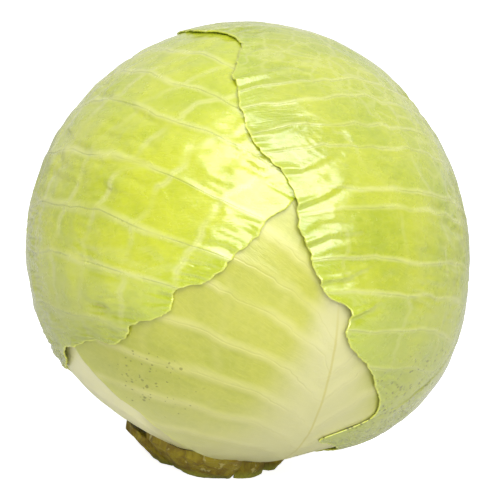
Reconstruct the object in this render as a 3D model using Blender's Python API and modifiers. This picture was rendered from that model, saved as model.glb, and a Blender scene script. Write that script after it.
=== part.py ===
"""Cabbage head: a trimmed stem and core, torn petioles of the leaves taken off, nested leaves and a heart.

Metres, +Z up. The origin is the middle of the cut face of the stem, which is what the head stands on.
Directions from the middle of the head are an azimuth, 0 at the front (-Y) and 90 at the right (+X), and a
polar angle, 0 straight down along the stem and 180 straight up, both in degrees.
"""

import bmesh
import bpy
import numpy as np

# the head
HEAD_WIDTH = 0.180
HEAD_DEPTH = 0.176
HEAD_HEIGHT = 0.182
HEAD_MIDDLE = np.array([0.0, 0.0, 0.090])

# places where the head swells or sinks: azimuth, polar angle, share of the radius, spread in degrees
SWELLS = (
    (90, 60, 0.045, 22),
    (90, 110, -0.022, 30),
    (-90, 160, 0.012, 30),
    (0, 0, -0.075, 24),
    (62, 28, -0.030, 11),
)

# the leaves
OUTER_BLADE = 0.0006
INNER_BLADE = 0.0009
CLEARANCE = 0.0003
BASE_RADIUS = 0.0198
BASE_HALF_WIDTH = 22
INNER_LEAVES = 16
INNER_CELLS = 8
SPIRAL_STEP = 144
FIRST_AZIMUTH = 120

# midribs of the outer leaves
RIB_RISE = 0.0030
RIB_FADE = 0.028
RIB_HALF_WIDTH = 0.0075
RIB_SWING = 20
RIB_START = 12

# stem and core, as radius and height
STEM_PROFILE = (
    (0.0000, 0.0640),
    (0.0035, 0.0630),
    (0.0070, 0.0590),
    (0.0100, 0.0520),
    (0.0130, 0.0400),
    (0.0155, 0.0280),
    (0.0178, 0.0170),
    (0.0182, 0.0120),
    (0.0175, 0.0080),
    (0.0165, 0.0040),
    (0.0155, 0.0010),
    (0.0145, 0.0000),
    (0.0000, 0.0000),
)
STEM_SIDES = 32

# the heart, an ovoid bud on top of the core
HEART_RADIUS = 0.025
HEART_HALF_HEIGHT = 0.0275
HEART_HEIGHT = 0.0925

# torn petioles: the leaf above each one, how far it reaches to each side in degrees, and how far out
PETIOLES = (
    ("torn_petiole_right", "right_outer_leaf", 27, 0.028),
    ("torn_petiole_left", "left_outer_leaf", 27, 0.037),
    ("torn_petiole_front_right", "front_leaf", 22, 0.026),
    ("torn_petiole_back", "back_leaf", 28, 0.030),
    ("torn_petiole_front", "lower_left_leaf", 30, 0.031),
)
PETIOLE_START = 0.0190
PETIOLE_THICK_IN = 0.0120
PETIOLE_THICK_OUT = 0.0030
PETIOLE_ROUNDING = 0.12
PETIOLE_RAGGEDNESS = 0.06
PETIOLE_CELLS = (8, 4)

RIGHT_MARGIN = (
    (92, 17), (72, 24), (50, 33), (32, 45), (40, 53), (48, 59), (37, 73), (27, 85), (27, 90), (18, 97),
    (12, 106), (10, 116), (0, 126), (-10, 137), (-16, 144), (-18, 152), (-30, 161), (-55, 162), (-80, 158),
    (-108, 153), (-135, 146), (-155, 134), (-168, 118), (-173, 100), (-178, 84), (176, 66), (168, 50),
    (158, 34), (150, 22),
)  # fmt: skip
LEFT_MARGIN = (
    (-78, 20), (-72, 34), (-64, 50), (-58, 59), (-48, 67), (-34, 71), (-25, 80), (-18, 84), (-15, 91),
    (-3, 100), (3, 107), (10, 114), (18, 124), (24, 138), (40, 154), (80, 164), (125, 160), (155, 148),
    (172, 132), (-178, 114), (-174, 96), (-170, 80), (-164, 64), (-152, 46), (-134, 30), (-116, 19),
)  # fmt: skip
FRONT_MARGIN = (
    (16, 26), (7, 37), (0, 44), (-11, 44), (-17, 49), (-28, 53), (-38, 56), (-49, 66), (-56, 78), (-56, 95),
    (-48, 112), (-32, 128), (-5, 140), (25, 144), (58, 138), (85, 124), (104, 104), (110, 84), (106, 64),
    (98, 45), (88, 28),
)  # fmt: skip
# name, middle, azimuth of the midrib half way up, cells across, margin; None where the leaf is a plain one
OUTER_LEAVES = (
    ("right_outer_leaf", (100, 100), 108, 18, RIGHT_MARGIN),
    ("left_outer_leaf", (-92, 100), -100, 18, LEFT_MARGIN),
    ("front_leaf", (25, 85), 25, 16, FRONT_MARGIN),
    ("back_leaf", None, None, 14, None),
    ("lower_left_leaf", None, None, 14, None),
)
# half of a plain leaf's margin, as azimuth away from the middle of the leaf, and polar angle
PLAIN_HALF_MARGIN = ((34, 22), (46, 36), (56, 52), (66, 70), (72, 90), (70, 110), (58, 128), (34, 141))
PLAIN_TIP = 146
PLAIN_MIDDLE = 86

SHARP_ANGLE = 50
WAXY_ROUGHNESS = 0.4
CUT_ROUGHNESS = 0.7
LEAF_GREEN = (0.47, 0.62, 0.13)
LEAF_CREAM = (0.86, 0.86, 0.56)
STEM_CREAM = (0.70, 0.66, 0.36)
PETIOLE_OLIVE = (0.38, 0.40, 0.13)
HEART_YELLOW = (0.88, 0.84, 0.44)


def direction(azimuth, polar):
    around, down = np.radians(azimuth), np.radians(polar)
    parts = (np.sin(down) * np.sin(around), -np.sin(down) * np.cos(around), -np.cos(down))
    return np.stack(np.broadcast_arrays(*parts), axis=-1)


def angle_between(n, m):
    return np.degrees(np.arccos(np.clip(n @ m, -1, 1)))


def head_radius(n):
    """Distance from the middle of the head to the surface that the outermost leaf lies on."""
    half_sizes = np.array([HEAD_WIDTH, HEAD_DEPTH, HEAD_HEIGHT]) / 2
    radius = 1 / np.linalg.norm(n / half_sizes, axis=-1)
    for azimuth, polar, share, spread in SWELLS:
        away = angle_between(n, direction(azimuth, polar))
        radius = radius * (1 + share * np.exp(-0.5 * (away / spread) ** 2))
    return radius


def rib_height(n, leaf):
    """How far the midrib of this leaf stands out of its blade."""
    azimuth = np.degrees(np.arctan2(n[..., 0], -n[..., 1]))
    polar = np.degrees(np.arccos(np.clip(-n[..., 2], -1, 1)))
    beyond = np.maximum(polar - RIB_START, 0)
    path = leaf["rib"] + (leaf["azimuth"] - leaf["rib"]) * np.exp(-beyond / RIB_SWING)
    turn = (azimuth - path + 180) % 360 - 180
    across = np.radians(turn) * np.sin(np.radians(polar)) * HEAD_WIDTH / 2
    along = np.radians(beyond) * HEAD_WIDTH / 2
    return RIB_RISE * np.exp(-along / RIB_FADE) * np.exp(-0.5 * (across / RIB_HALF_WIDTH) ** 2)


def leaf_radius(n, leaf, outside):
    """A leaf drapes over the midribs of the outer leaves inside it. Its own midrib is only on its outside."""
    radius = head_radius(n) - leaf["depth"]
    for ribbed in leaf["ribs_inside"]:
        radius = radius + rib_height(n, ribbed)
    own = rib_height(n, leaf) if leaf["ribbed"] else 0
    return np.where(outside, radius + own, radius - leaf["blade"])


def leaf_frame(leaf):
    """The directions across and up the leaf at its middle, and outwards there."""
    outward = direction(*leaf["middle"])
    base = direction(leaf["azimuth"], RIB_START)
    upward = outward * (base @ outward) - base
    upward = upward / np.linalg.norm(upward)
    return np.cross(upward, outward), upward, outward


def flatten(n, frame):
    """Directions as points on a flat map around the middle of the leaf, true to distance from there."""
    across, upward, outward = frame
    away = np.arccos(np.clip(n @ outward, -1, 1))
    stretch = away / np.maximum(np.sin(away), 1e-9)
    return np.stack([stretch * (n @ across), stretch * (n @ upward)], axis=-1)


def unflatten(spot, frame):
    across, upward, outward = frame
    away = np.linalg.norm(spot, axis=-1, keepdims=True)
    share = np.sin(away) / np.maximum(away, 1e-9)
    return np.cos(away) * outward + share * (spot[..., :1] * across + spot[..., 1:] * upward)


def smooth_loop(corners, steps=12):
    """A closed Catmull-Rom curve through the corners."""
    before, after, last = np.roll(corners, 1, 0), np.roll(corners, -1, 0), np.roll(corners, -2, 0)
    t = (np.arange(steps) / steps)[None, :, None]
    p0, p1, p2, p3 = before[:, None], corners[:, None], after[:, None], last[:, None]
    bend = (2 * p0 - 5 * p1 + 4 * p2 - p3) * t**2 + (3 * p1 - p0 - 3 * p2 + p3) * t**3
    return (0.5 * (2 * p1 + (p2 - p0) * t + bend)).reshape(-1, 2)


def margin_of(leaf, frame):
    """The leaf's outline on its flat map, as rising bearings and the distance to the margin at each."""
    base_polar = np.degrees(np.arcsin(BASE_RADIUS / (head_radius(direction(0, RIB_START)) - leaf["depth"])))
    sides = (-BASE_HALF_WIDTH, 0, BASE_HALF_WIDTH)
    base = [(leaf["azimuth"] + side, base_polar) for side in sides]
    corners = flatten(direction(*np.array(base + list(leaf["margin"]), float).T), frame)
    corners = corners[np.argsort(np.arctan2(corners[:, 1], corners[:, 0]))]
    loop = smooth_loop(corners)
    bearing = np.arctan2(loop[:, 1], loop[:, 0])
    order = np.argsort(bearing)
    return bearing[order], np.linalg.norm(loop, axis=1)[order]


def facet_sag(cells, reach, radius):
    """How far the flat facets of a leaf cut inside the curve that their corners lie on."""
    return radius * (1 - np.cos(np.sqrt(2) * reach / cells))


def new_slab(x_cells, y_cells):
    """A flat closed slab of square cells, its upper side at height 0 and its lower side at -1."""
    bm = bmesh.new()
    bmesh.ops.create_grid(bm, x_segments=x_cells, y_segments=y_cells, size=1.0)
    lower = bmesh.ops.extrude_face_region(bm, geom=bm.faces[:])
    for item in lower["geom"]:
        if isinstance(item, bmesh.types.BMVert):
            item.co.z = -1
    bmesh.ops.recalc_face_normals(bm, faces=bm.faces[:])
    return bm


def place_slab(bm, points):
    for vert, point in zip(bm.verts, points):
        vert.co = point


def slab_spots(bm):
    return np.array([vert.co for vert in bm.verts])


def add_object(name, bm, colour, roughness):
    mesh = bpy.data.meshes.new(name)
    bm.to_mesh(mesh)
    bm.free()
    part = bpy.data.objects.new(name, mesh)
    parts.objects.link(part)
    finish(part, colour, roughness)
    return part


def finish(part, colour, roughness):
    material = bpy.data.materials.new(part.name)
    material.use_nodes = True
    shader = material.node_tree.nodes["Principled BSDF"]
    shader.inputs["Base Color"].default_value = (*colour, 1)
    shader.inputs["Roughness"].default_value = roughness
    shader.inputs["Metallic"].default_value = 0
    part.data.materials.append(material)
    part.data.shade_smooth()
    part.data.set_sharp_from_angle(angle=np.radians(SHARP_ANGLE))


def add_leaf(leaf):
    """A square of cells rounded to a disc, stretched to the margin, and wrapped on the head."""
    bearings, distances = leaf["outline"]
    bm = new_slab(leaf["cells"], leaf["cells"])
    spots = slab_spots(bm)
    x, y = spots[:, 0], spots[:, 1]
    disc = np.stack([x * np.sqrt(1 - y**2 / 2), y * np.sqrt(1 - x**2 / 2)], axis=-1)
    bearing = np.arctan2(disc[:, 1], disc[:, 0])
    margin = np.interp(bearing, bearings, distances, period=2 * np.pi)
    n = unflatten(disc * margin[:, None], leaf["frame"])
    radius = leaf_radius(n, leaf, spots[:, 2] > -0.5)
    place_slab(bm, HEAD_MIDDLE + n * radius[:, None])
    add_object(leaf["name"], bm, leaf["colour"], WAXY_ROUGHNESS)


def plain_margin(azimuth):
    left = [(azimuth - away, polar) for away, polar in PLAIN_HALF_MARGIN]
    right = [(azimuth + away, polar) for away, polar in PLAIN_HALF_MARGIN]
    return left + [(azimuth, PLAIN_TIP)] + right


def outer_leaves():
    """The five leaves that show, from the outermost in."""
    for level, (name, middle, rib, cells, margin) in enumerate(OUTER_LEAVES):
        azimuth = FIRST_AZIMUTH + SPIRAL_STEP * level
        azimuth = (azimuth + 180) % 360 - 180
        yield {
            "name": name,
            "azimuth": azimuth,
            "middle": middle or (azimuth, PLAIN_MIDDLE),
            "rib": azimuth if rib is None else rib,
            "ribbed": True,
            "cells": cells,
            "margin": margin or plain_margin(azimuth),
            "blade": OUTER_BLADE,
            "colour": LEAF_CREAM if level > 1 else LEAF_GREEN,
        }


def inner_leaves(first_level):
    """The hidden leaves, which go on round the same spiral and grow paler inwards."""
    for number in range(INNER_LEAVES):
        azimuth = (FIRST_AZIMUTH + SPIRAL_STEP * (first_level + number) + 180) % 360 - 180
        inward = number / INNER_LEAVES
        yield {
            "name": f"inner_leaf_{number + 1:02d}",
            "azimuth": azimuth,
            "middle": (azimuth, PLAIN_MIDDLE),
            "rib": azimuth,
            "ribbed": False,
            "cells": INNER_CELLS,
            "margin": plain_margin(azimuth),
            "blade": INNER_BLADE,
            "colour": [a + (b - a) * inward for a, b in zip(LEAF_CREAM, HEART_YELLOW)],
        }


def stack_leaves(leaves):
    """Each leaf lies under the one before it, far enough in to clear its facets."""
    depth = 0.0
    for level, leaf in enumerate(leaves):
        leaf["depth"] = depth
        leaf["ribs_inside"] = [other for other in leaves[level + 1 :] if other["ribbed"]]
        leaf["frame"] = leaf_frame(leaf)
        leaf["outline"] = margin_of(leaf, leaf["frame"])
        reach = leaf["outline"][1].max()
        depth += leaf["blade"] + CLEARANCE + facet_sag(leaf["cells"], reach, HEAD_WIDTH / 2 - depth)
    print(f"{len(leaves)} leaves, the innermost {depth * 1000:.1f} mm deep")


def add_stem():
    bm = bmesh.new()
    line = [bm.verts.new((radius, 0, height)) for radius, height in STEM_PROFILE]
    for upper, lower in zip(line, line[1:]):
        bm.edges.new((upper, lower))
    stem = add_object("stem_and_core", bm, STEM_CREAM, CUT_ROUGHNESS)
    turn = stem.modifiers.new("Turn", "SCREW")
    turn.axis = "Z"
    turn.steps = turn.render_steps = STEM_SIDES
    turn.use_merge_vertices = True
    turn.merge_threshold = 0.00001


def add_heart():
    bm = bmesh.new()
    bmesh.ops.create_uvsphere(bm, u_segments=20, v_segments=12, radius=1.0)
    bmesh.ops.scale(bm, vec=(HEART_RADIUS, HEART_RADIUS, HEART_HALF_HEIGHT), verts=bm.verts[:])
    heart = add_object("heart_bud", bm, HEART_YELLOW, WAXY_ROUGHNESS)
    heart.location.z = HEART_HEIGHT


def underside(azimuth, reach, leaf):
    """Height of the outside of a leaf at this distance from the stem's axis, under the head."""
    radius = np.full_like(reach, HEAD_HEIGHT / 2)
    for _ in range(6):
        polar = np.degrees(np.arcsin(reach / radius))
        radius = leaf_radius(direction(azimuth, polar), leaf, True)
    return HEAD_MIDDLE[2] - np.sqrt(radius**2 - reach**2)


def add_petiole(name, leaf, half_width, reach):
    """What is left of a leaf that was torn off, hugging the leaf above it and cut level with the stem."""
    bm = new_slab(*PETIOLE_CELLS)
    spots = slab_spots(bm)
    side, out = -spots[:, 0], (spots[:, 1] + 1) / 2
    torn = 1 - PETIOLE_ROUNDING * side**2 - PETIOLE_RAGGEDNESS * np.sin(5 * side + leaf["azimuth"])
    distance = PETIOLE_START + (reach - PETIOLE_START) * out * torn
    azimuth = leaf["azimuth"] + half_width * side
    top = underside(azimuth, distance, leaf) - 2 * CLEARANCE
    thick = PETIOLE_THICK_IN + (PETIOLE_THICK_OUT - PETIOLE_THICK_IN) * out
    height = np.where(spots[:, 2] > -0.5, top, np.maximum(top - thick, 0))
    around = np.radians(azimuth)
    place_slab(bm, np.stack([distance * np.sin(around), -distance * np.cos(around), height], axis=-1))
    add_object(name, bm, PETIOLE_OLIVE, CUT_ROUGHNESS)


for old in list(bpy.data.objects):
    bpy.data.objects.remove(old, do_unlink=True)
parts = bpy.data.collections.new("cabbage_head")
bpy.context.scene.collection.children.link(parts)

outer = list(outer_leaves())
inner = list(inner_leaves(len(outer)))
stack_leaves(outer + inner)
for leaf in outer + inner:
    add_leaf(leaf)
add_stem()
add_heart()

# the leaves taken off stood on the same five lines as the five that show
leaf_named = {leaf["name"]: leaf for leaf in outer}
for name, above, half_width, reach in PETIOLES:
    add_petiole(name, leaf_named[above], half_width, reach)
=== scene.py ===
import math

import bmesh
import bpy
import numpy as np
from mathutils import Matrix, Vector


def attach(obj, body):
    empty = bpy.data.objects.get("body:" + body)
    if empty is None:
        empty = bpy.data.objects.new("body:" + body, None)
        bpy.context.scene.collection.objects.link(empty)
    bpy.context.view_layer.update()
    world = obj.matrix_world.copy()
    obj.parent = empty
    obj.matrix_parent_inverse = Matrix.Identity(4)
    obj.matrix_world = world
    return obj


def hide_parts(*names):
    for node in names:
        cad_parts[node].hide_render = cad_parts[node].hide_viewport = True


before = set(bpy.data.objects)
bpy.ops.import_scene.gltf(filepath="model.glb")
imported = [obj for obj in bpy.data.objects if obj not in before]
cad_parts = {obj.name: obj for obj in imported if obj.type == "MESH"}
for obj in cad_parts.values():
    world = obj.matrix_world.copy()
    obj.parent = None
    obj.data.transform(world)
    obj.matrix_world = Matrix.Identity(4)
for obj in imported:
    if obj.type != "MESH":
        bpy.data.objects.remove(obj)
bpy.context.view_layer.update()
scene = bpy.context.scene
print("frame loaded,", len(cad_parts), "nodes")

# Directions from the middle of the head are an azimuth, 0 at the front and 90 at the right, and a polar
# angle, 0 straight down along the stem and 180 straight up, in degrees.
head = {
    "middle": (0.0, 0.0, 0.090),
    "halfSizes": (0.090, 0.088, 0.091),
    "mapRadius": 0.090,  # one radian on a leaf's flat map
    # azimuth, polar angle, share of the radius, spread
    "swells": (
        (90, 60, 0.045, 22), (90, 110, -0.022, 30), (-90, 160, 0.012, 30), (0, 0, -0.075, 24),
        (62, 28, -0.030, 11),
    ),
    "lumpRise": 0.0009,
    "lumpsPerMetre": 26.0,
}
midrib = {"rise": 0.0030, "fade": 0.028, "halfWidth": 0.0075, "swing": 20.0, "start": 12.0}
stack = {
    "pitch": 0.00105,  # from the outside of one leaf to the outside of the next
    "blade": 0.00062,
    "baseRadius": 0.0192,
    "baseHalfWidth": 22.0,
    "marginSteps": 720,
    "cells": 214,
    "veinPoints": 40,
}
toMillimetres = 1000.0  # skins are measured in millimetres

# name, CAD node, middle, azimuth of the midrib, azimuth at the stem, from the outermost leaf in
leafPlaces = (
    ("rightOuterLeaf", "right_outer_leaf", (100, 100), 108, 120),
    ("leftOuterLeaf", "left_outer_leaf", (-92, 100), -100, -96),
    ("frontLeaf", "front_leaf", (25, 85), 25, 48),
    ("backLeaf", "back_leaf", (-168, 86), -168, -168),
    ("lowerLeftLeaf", "lower_left_leaf", (-24, 86), -24, -24),
)


# arithmetic with node sockets
class wire:
    # an output socket that adds a math node when it is reckoned with
    def __init__(self, tree, socket):
        self.tree = tree
        self.socket = socket

    def __add__(self, other):
        return calc("ADD", self, other)

    def __sub__(self, other):
        return calc("SUBTRACT", self, other)

    def __rsub__(self, other):
        return calc("SUBTRACT", other, self)

    def __mul__(self, other):
        return calc("MULTIPLY", self, other)

    def __truediv__(self, other):
        return calc("DIVIDE", self, other)

    def __rtruediv__(self, other):
        return calc("DIVIDE", other, self)

    def also(self, name):
        # another output of the same node
        return wire(self.tree, self.socket.node.outputs[name])


def isVector(value):
    if isinstance(value, wire):
        return value.socket.type in ("VECTOR", "RGBA")
    return isinstance(value, tuple)


def feed(socket, value):
    if isinstance(value, wire):
        value.tree.links.new(value.socket, socket)
    elif isinstance(value, tuple):
        numbers = tuple(float(number) for number in value)
        socket.default_value = numbers if len(numbers) == len(socket.default_value) else (*numbers, 1.0)
    elif socket.type == "VECTOR":
        socket.default_value = (value, value, value)
    else:
        socket.default_value = value


def setSockets(node, values):
    for name, value in values.items():
        feed(node.inputs[name], value)


def calc(operation, *values):
    tree = next(value.tree for value in values if isinstance(value, wire))
    vectors = any(isVector(value) for value in values)
    node = tree.nodes.new("ShaderNodeVectorMath" if vectors else "ShaderNodeMath")
    node.operation = operation
    for socket, value in zip(node.inputs, values):
        feed(socket, value)
    return wire(tree, node.outputs[1 if operation in ("DOT_PRODUCT", "LENGTH", "DISTANCE") else 0])


def put(tree, kind, inputs=None, output=0, **settings):
    node = tree.nodes.new(kind)
    for name, value in settings.items():
        setattr(node, name, value)
    setSockets(node, inputs or {})
    return wire(tree, node.outputs[output])


def join(tree, *parts):
    node = tree.nodes.new("GeometryNodeJoinGeometry")
    for part in parts:
        tree.links.new(part.socket, node.inputs[0])
    return wire(tree, node.outputs[0])


def pack(x, y, z=0.0):
    tree = next(value.tree for value in (x, y, z) if isinstance(value, wire))
    return put(tree, "ShaderNodeCombineXYZ", {"X": x, "Y": y, "Z": z})


def unpack(vector):
    x = put(vector.tree, "ShaderNodeSeparateXYZ", {"Vector": vector})
    return x, x.also("Y"), x.also("Z")


def blend(factor, low, high):
    kind = "RGBA" if isVector(low) or isVector(high) else "FLOAT"
    first = {"FLOAT": 2, "RGBA": 6}[kind]
    tree = next(value.tree for value in (factor, low, high) if isinstance(value, wire))
    inputs = {0: factor, first: low, first + 1: high}
    return put(tree, "ShaderNodeMix", inputs, {"FLOAT": 0, "RGBA": 2}[kind], data_type=kind)


def fade(value, low, high):
    # 0 at low and 1 at high, eased
    inputs = {"Value": value, "From Min": low, "From Max": high}
    return put(value.tree, "ShaderNodeMapRange", inputs, interpolation_type="SMOOTHSTEP")


def bell(value, width):
    # 1 where the value is 0, falling away over the width
    share = value / width
    return calc("EXPONENT", share * share * -0.5)


def noise(vector, scale, detail=2.0, roughness=0.5, distortion=0.0):
    inputs = {"Vector": vector, "Scale": scale, "Detail": detail, "Roughness": roughness,
              "Distortion": distortion}
    return put(vector.tree, "ShaderNodeTexNoise", inputs)


def stir(vector, scale):
    # three noises in one vector, which bend a pattern
    return put(vector.tree, "ShaderNodeTexNoise", {"Vector": vector, "Scale": scale}, "Color")


def cellGap(vector, scale, feature="F1"):
    # distance to the middle of the nearest random cell, or to the cell's edge
    inputs = {"Vector": vector, "Scale": scale}
    return put(vector.tree, "ShaderNodeTexVoronoi", inputs, "Distance", feature=feature)


def angleOf(cosine):
    return calc("ARCCOSINE", calc("MINIMUM", calc("MAXIMUM", cosine, -1.0), 1.0))


def socketList(kind, *names):
    return [(name, kind) for name in names]


def newGroup(name, kind, inputs, outputs):
    tree = bpy.data.node_groups.new(name, kind)
    for label, socketType in inputs:
        tree.interface.new_socket(label, in_out="INPUT", socket_type="NodeSocket" + socketType)
    for label, socketType in outputs:
        tree.interface.new_socket(label, in_out="OUTPUT", socket_type="NodeSocket" + socketType)
    entry = tree.nodes.new("NodeGroupInput")
    given = {label: wire(tree, entry.outputs[label]) for label, _ in inputs}
    leave = tree.nodes.new("NodeGroupOutput")

    def give(name, value):
        feed(leave.inputs[name], value)

    return tree, given, give


def useGroup(tree, group, inputs, output=0):
    kind = "ShaderNodeGroup" if tree.bl_idname == "ShaderNodeTree" else "GeometryNodeGroup"
    node = tree.nodes.new(kind)
    node.node_tree = group
    setSockets(node, inputs)
    return wire(tree, node.outputs[output])


# the shape of the head
def direction(azimuth, polar):
    around, down = np.radians(azimuth), np.radians(polar)
    parts = (np.sin(down) * np.sin(around), -np.sin(down) * np.cos(around), -np.cos(down))
    return np.stack(np.broadcast_arrays(*parts), axis=-1)


def numbersOf(vector):
    return tuple(float(part) for part in vector)


def headRadius(n):
    radius = 1 / np.linalg.norm(n / np.array(head["halfSizes"]), axis=-1)
    for azimuth, polar, share, spread in head["swells"]:
        away = np.degrees(np.arccos(np.clip(n @ direction(azimuth, polar), -1, 1)))
        radius = radius * (1 + share * np.exp(-0.5 * (away / spread) ** 2))
    return radius


def ribHeight(n, ribAzimuth, baseAzimuth):
    azimuth = np.degrees(np.arctan2(n[..., 0], -n[..., 1]))
    polar = np.degrees(np.arccos(np.clip(-n[..., 2], -1, 1)))
    beyond = np.maximum(polar - midrib["start"], 0)
    path = ribAzimuth + (baseAzimuth - ribAzimuth) * np.exp(-beyond / midrib["swing"])
    turn = (azimuth - path + 180) % 360 - 180
    across = np.radians(turn) * np.sin(np.radians(polar)) * head["mapRadius"]
    along = np.radians(beyond) * head["mapRadius"]
    bulge = np.exp(-0.5 * (across / midrib["halfWidth"]) ** 2)
    return midrib["rise"] * np.exp(-along / midrib["fade"]) * bulge


def leafFrame(middle, baseAzimuth):
    # the directions across and up a leaf at its middle, and outwards there
    outward = direction(*middle)
    base = direction(baseAzimuth, midrib["start"])
    upward = outward * (base @ outward) - base
    upward = upward / np.linalg.norm(upward)
    return np.cross(upward, outward), upward, outward


def flatten(n, axes):
    # directions as points on a flat map round the middle of the leaf, in metres
    across, upward, outward = axes
    away = np.arccos(np.clip(n @ outward, -1, 1))
    stretch = head["mapRadius"] * away / np.maximum(np.sin(away), 1e-9)
    return np.stack([stretch * (n @ across), stretch * (n @ upward)], axis=-1)


def smoothLoop(corners, steps=12):
    before, after, last = np.roll(corners, 1, 0), np.roll(corners, -1, 0), np.roll(corners, -2, 0)
    t = (np.arange(steps) / steps)[None, :, None]
    p0, p1, p2, p3 = before[:, None], corners[:, None], after[:, None], last[:, None]
    bend = (2 * p0 - 5 * p1 + 4 * p2 - p3) * t**2 + (3 * p1 - p0 - 3 * p2 + p3) * t**3
    return (0.5 * (2 * p1 + (p2 - p0) * t + bend)).reshape(-1, 2)


def newHeadShape():
    # a direction in, the distance from the middle of the head to its surface out
    outputs = [("Radius", "Float")]
    tree, given, give = newGroup("headShape", "GeometryNodeTree", [("Direction", "Vector")], outputs)
    n = given["Direction"]
    radius = 1.0 / calc("LENGTH", n / head["halfSizes"])
    for azimuth, polar, share, spread in head["swells"]:
        toward = calc("DOT_PRODUCT", n, numbersOf(direction(azimuth, polar)))
        radius = radius * (bell(angleOf(toward), math.radians(spread)) * share + 1.0)
    lumps = noise(n * head["mapRadius"], head["lumpsPerMetre"], 1.0) - 0.5
    give("Radius", radius + lumps * (2 * head["lumpRise"]))
    return tree


def newRibShape():
    sockets = [("Direction", "Vector"), ("Rib Azimuth", "Float"), ("Base Azimuth", "Float")]
    tree, given, give = newGroup("midribShape", "GeometryNodeTree", sockets, [("Height", "Float")])
    x, y, z = unpack(given["Direction"])
    azimuth = calc("ARCTAN2", x, y * -1.0)
    polar = angleOf(z * -1.0)
    beyond = calc("MAXIMUM", polar - math.radians(midrib["start"]), 0.0)
    swing = calc("EXPONENT", beyond / -math.radians(midrib["swing"]))
    rib, base = (calc("RADIANS", given[name]) for name in ("Rib Azimuth", "Base Azimuth"))
    turn = calc("WRAP", azimuth - rib - (base - rib) * swing, math.pi, -math.pi)
    across = turn * calc("SINE", polar) * head["mapRadius"]
    fall = calc("EXPONENT", beyond * (-head["mapRadius"] / midrib["fade"]))
    give("Height", fall * bell(across, midrib["halfWidth"]) * midrib["rise"])
    return tree


# one leaf, wrapped on the head
veinSockets = socketList(
    "Float", "Rib Offset", "First Vein", "Vein Spacing", "Leave Angle", "End Angle", "End Fan",
    "Vein Length", "Wander", "Seed",
)
leafSockets = (
    veinSockets
    + socketList("Vector", "Across", "Upward", "Outward", "Lift Direction", "Tuck Direction")
    + socketList("Int", "Level", "Cells", "Margin Steps", "Vein Count", "Cross Count")
    + socketList("Float", "Blade", "Pitch", "Cross First", "Cross Spacing", "Cross Rise", "Vein Rise",
                 "Vein Width", "Puff", "Wrinkle", "Crease Rise", "Margin Wave", "Waves Per Metre",
                 "Lift", "Lift Reach", "Tuck Reach", "Tuck Depth")
    + socketList("Material", "Material")
)


def newVeinPath():
    # place along a side vein, order up the leaf and side of the midrib in, point of the flat map out
    sockets = [("Place", "Vector")] + veinSockets
    tree, given, give = newGroup("sideVein", "GeometryNodeTree", sockets, [("Spot", "Vector")])
    along, order, side = unpack(given["Place"])
    seed = given["Seed"]
    stray = noise(pack(order * 0.9, side * 3.0, seed), 1.0, 1.0) - 0.5
    start = given["First Vein"] + given["Vein Spacing"] * (order + stray * 0.6)
    startX = given["Rib Offset"] * calc("COSINE", start / head["mapRadius"])
    leaveAngle = given["Leave Angle"] + stray * 0.1
    endAngle = given["End Angle"] + given["End Fan"] * start
    length = given["Vein Length"]
    middleX = startX + side * length * calc("COSINE", leaveAngle) * 0.35
    middleY = start + length * calc("SINE", leaveAngle) * 0.35
    endX = middleX + side * length * calc("COSINE", endAngle) * 0.65
    endY = middleY + length * calc("SINE", endAngle) * 0.65
    rest = 1.0 - along
    first, second, third = rest * rest, along * rest * 2.0, along * along
    x = startX * first + middleX * second + endX * third
    bend = noise(pack(order * 1.3, along * 23.0, side * 2.0 + seed), 1.0, 1.0) - 0.5
    y = start * first + middleY * second + endY * third
    sway = noise(pack(along * 5.0, order * 2.7, side + seed), 1.0, 1.0) - 0.5
    nudge = noise(pack(along * 4.0 + 9.0, order * 1.9, side + seed), 1.0, 1.0) - 0.5
    give("Spot", pack(x + (nudge + bend) * given["Wander"], y + sway * given["Wander"]))
    return tree


def signedDistance(near, spot, part):
    # distance to the nearest vein, negative on one side, and the plain distance
    gap = unpack(spot - near)[part]
    distance = near.also("Distance")
    return distance * calc("SIGN", gap), distance


def storeVector(geometry, name, value):
    inputs = {"Geometry": geometry, "Name": name, 3: value}
    return put(geometry.tree, "GeometryNodeStoreNamedAttribute", inputs, data_type="FLOAT_VECTOR",
               domain="POINT")


def pointRow(tree, count, offset, start=(0.0, 0.0, 0.0)):
    inputs = {"Count": count, "Start Location": start, "Offset": offset}
    return put(tree, "GeometryNodeMeshLine", inputs)


# folds and creases of a blade, in metres, and noise in each metre
blade = {
    "patchScale": 55.0, "puffScale": 95.0, "foldsAcross": 38.0, "foldsAlong": 230.0, "foldPatchScale": 32.0,
    "ridgeWidth": 0.0012, "hollowAside": 0.0030, "hollowWidth": 0.0018, "hollowReach": 0.004,
    "pleatReach": 0.011, "pleatLeast": 0.12,  # pleats fade from the margin inwards
    "liftReach": 0.0030,
}


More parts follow.
